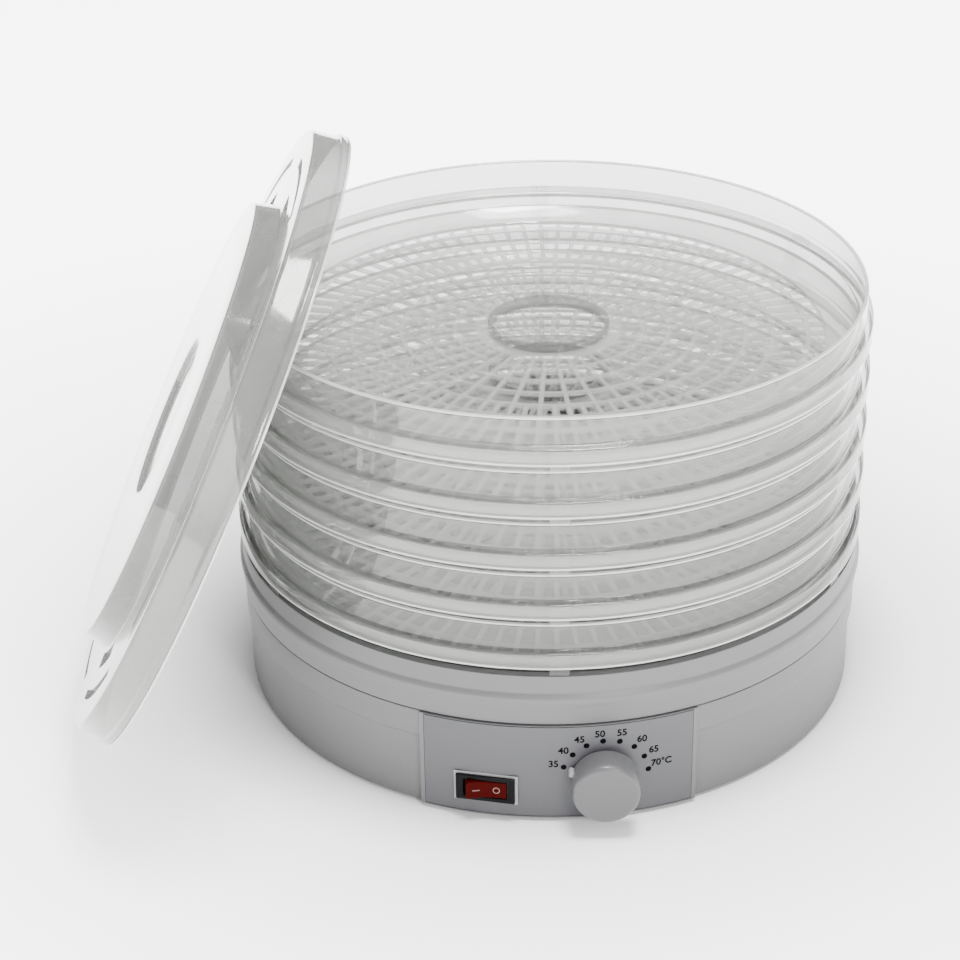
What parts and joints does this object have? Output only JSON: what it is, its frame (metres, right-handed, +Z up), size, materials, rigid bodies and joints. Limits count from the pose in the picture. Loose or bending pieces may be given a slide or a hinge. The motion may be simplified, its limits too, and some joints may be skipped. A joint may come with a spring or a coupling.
{
  "type": "food dehydrator",
  "caption": "Round food dehydrator: heated fan base with a temperature knob and a rocker switch, stacking clear mesh trays, and a vented clear lid leaning against the stack",
  "frame": {"origin": "on the vertical axis of the tray stack, in the plane of the feet's undersides", "axes": "+X to the right as seen from the control panel's side, +Y towards the back, +Z up; the control panel faces -Y and the lid leans on the -X side"},
  "size_m": [0.4176, 0.3701, 0.3036],
  "materials": {
    "base_plastic": "satin moulded light grey",
    "panel_plastic": "satin grey with a faint violet cast",
    "knob_plastic": "satin light grey",
    "clear_plastic": "clear, faintly smoky, glossy",
    "black_plastic": "glossy black",
    "red_plastic": "glossy red",
    "rubber": "matt black",
    "steel": "plain zinc-plated steel",
    "brass": "plain",
    "mica": "pressed mica board, matt",
    "nichrome": "dull heating wire",
    "white_plastic": "matt off-white",
    "wire_red": "red insulation",
    "wire_blue": "blue insulation"
  },
  "bodies": {
    "base": {"base_housing": "base_plastic", "top_cover": "base_plastic", "bottom_cover": "base_plastic", "air_guard": "base_plastic", "control_panel": "panel_plastic", "rubber_foot_1": "rubber", "rubber_foot_2": "rubber", "rubber_foot_3": "rubber", "rubber_foot_4": "rubber", "inlet_bushing": "rubber", "cover_screw_1": "steel", "cover_screw_2": "steel", "cover_screw_3": "steel", "cover_screw_4": "steel", "motor_screw_1": "steel", "motor_screw_2": "steel", "motor_screw_3": "steel", "motor_body": "steel", "motor_bracket": "steel", "thermostat_body": "steel", "thermostat_nut": "brass", "switch_body": "black_plastic", "heater_frame": "mica", "heater_coil": "nichrome", "thermal_fuse": "white_plastic", "terminal_block": "white_plastic", "lead_block_to_switch": "wire_red", "lead_switch_to_thermostat": "wire_red", "lead_thermostat_to_heater": "wire_red", "lead_block_to_motor": "wire_blue"},
    "fan": {"fan_impeller": "black_plastic", "fan_clip": "steel", "motor_shaft": "steel"},
    "knob": {"temperature_knob": "knob_plastic", "thermostat_shaft": "steel"},
    "rocker": {"switch_rocker": "red_plastic"},
    "tray_1": {"tray_wall_1": "clear_plastic", "tray_mesh_1": "clear_plastic", "tray_ring_1": "clear_plastic"},
    "tray_2": {"tray_wall_2": "clear_plastic", "tray_mesh_2": "clear_plastic", "tray_ring_2": "clear_plastic"},
    "tray_3": {"tray_wall_3": "clear_plastic", "tray_mesh_3": "clear_plastic", "tray_ring_3": "clear_plastic"},
    "tray_4": {"tray_wall_4": "clear_plastic", "tray_mesh_4": "clear_plastic", "tray_ring_4": "clear_plastic"},
    "tray_5": {"tray_wall_5": "clear_plastic", "tray_mesh_5": "clear_plastic", "tray_ring_5": "clear_plastic"},
    "lid": {"lid": "clear_plastic"}
  },
  "joints": [
    {"name": "fan_spin", "type": "hinge", "parent": "base", "child": "fan", "pos_m": [0, 0, 0.045], "axis": [0, 0, 1], "continuous": true},
    {"name": "knob_turn", "type": "hinge", "parent": "base", "child": "knob", "pos_m": [0.0223, -0.1735, 0.0257], "axis": [0, 1, 0], "range_deg": [0, 155.4]},
    {"name": "rocker_press", "type": "hinge", "parent": "base", "child": "rocker", "pos_m": [-0.03578, -0.16005, 0.0182], "axis": [0, 0, -1], "range_deg": [0, 22]},
    {"name": "tray_1_lift", "type": "slide", "parent": "base", "child": "tray_1", "axis": [0, 0, 1], "range_m": [0, 0.06]},
    {"name": "tray_2_lift", "type": "slide", "parent": "tray_1", "child": "tray_2", "axis": [0, 0, 1], "range_m": [0, 0.06]},
    {"name": "tray_3_lift", "type": "slide", "parent": "tray_2", "child": "tray_3", "axis": [0, 0, 1], "range_m": [0, 0.06]},
    {"name": "tray_4_lift", "type": "slide", "parent": "tray_3", "child": "tray_4", "axis": [0, 0, 1], "range_m": [0, 0.06]},
    {"name": "tray_5_lift", "type": "slide", "parent": "tray_4", "child": "tray_5", "axis": [0, 0, 1], "range_m": [0, 0.06]},
    {"name": "lid_take_off", "type": "slide", "parent": "tray_5", "child": "lid", "axis": [-0.9048, 0, 0.4258], "range_m": [0, 0.12]}
  ]
}
